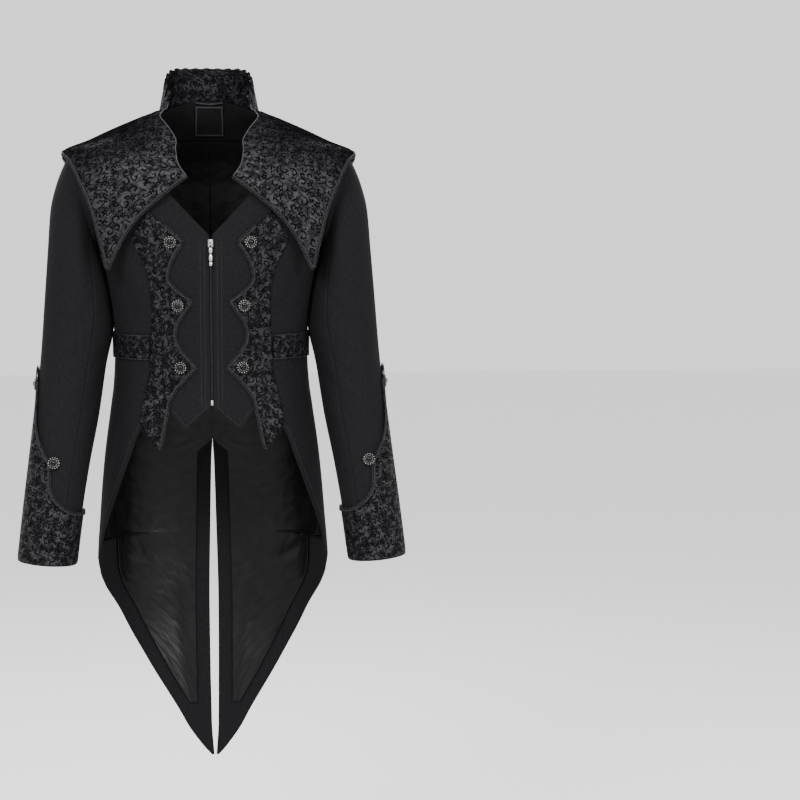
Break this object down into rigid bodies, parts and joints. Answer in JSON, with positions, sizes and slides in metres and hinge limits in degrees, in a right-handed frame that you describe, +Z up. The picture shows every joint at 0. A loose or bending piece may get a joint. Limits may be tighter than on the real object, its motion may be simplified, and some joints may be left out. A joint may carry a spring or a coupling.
{
  "type": "tailcoat",
  "caption": "Tailored black tailcoat, worn and hollow, with a pointed brocade cape collar, scalloped front trims, a zip front and a belted back.",
  "frame": {"origin": "centre of the neck's base, level with the neck's shoulder points", "axes": "+Z up, -Y towards the coat's front, +X towards its wearer's left side"},
  "size_m": [0.5982, 0.2796, 1.1134],
  "materials": {
    "twill": "matt black woven twill",
    "brocade": "black figured brocade with satin scrolls",
    "satin": "black satin lining",
    "braid": "black picot braid",
    "silver": "antique silver plate",
    "label": "bare black woven label"
  },
  "bodies": {
    "coat": {"neck_facing": "twill", "hanger_loop": "twill", "zip_tape": "twill", "centre_front_L": "twill", "centre_front_R": "twill", "side_front_L": "twill", "side_front_R": "twill", "side_back_L": "twill", "side_back_R": "twill", "centre_back_L": "twill", "centre_back_R": "twill", "top_sleeve_L": "twill", "top_sleeve_R": "twill", "under_sleeve_L": "twill", "under_sleeve_R": "twill", "belt_loop_L": "twill", "belt_loop_R": "twill", "stand_collar": "brocade", "ruffle": "brocade", "cape": "brocade", "lapel_L": "brocade", "lapel_R": "brocade", "front_trim_L": "brocade", "front_trim_R": "brocade", "cuff_L": "brocade", "cuff_R": "brocade", "belt_L": "brocade", "belt_R": "brocade", "lining_L": "satin", "lining_R": "satin", "cape_braid": "braid", "lapel_braid_L": "braid", "lapel_braid_R": "braid", "trim_braid_L": "braid", "trim_braid_R": "braid", "cuff_braid_L": "braid", "cuff_braid_R": "braid", "buckle": "silver", "buckle_prong": "silver", "zip_chain": "silver", "zip_stop": "silver", "zip_slider": "silver", "front_button_1_L": "silver", "front_button_1_R": "silver", "front_button_2_L": "silver", "front_button_2_R": "silver", "front_button_3_L": "silver", "front_button_3_R": "silver", "cuff_button_1_L": "silver", "cuff_button_1_R": "silver", "cuff_button_2_L": "silver", "cuff_button_2_R": "silver", "cuff_button_3_L": "silver", "cuff_button_3_R": "silver", "label": "label"},
    "pull": {"zip_pull": "silver"}
  },
  "joints": [
    {"name": "pull_swing", "type": "hinge", "parent": "coat", "child": "pull", "pos_m": [0, -0.12321, -0.2035], "axis": [-1, 0, 0], "range_deg": [0, 150]}
  ]
}
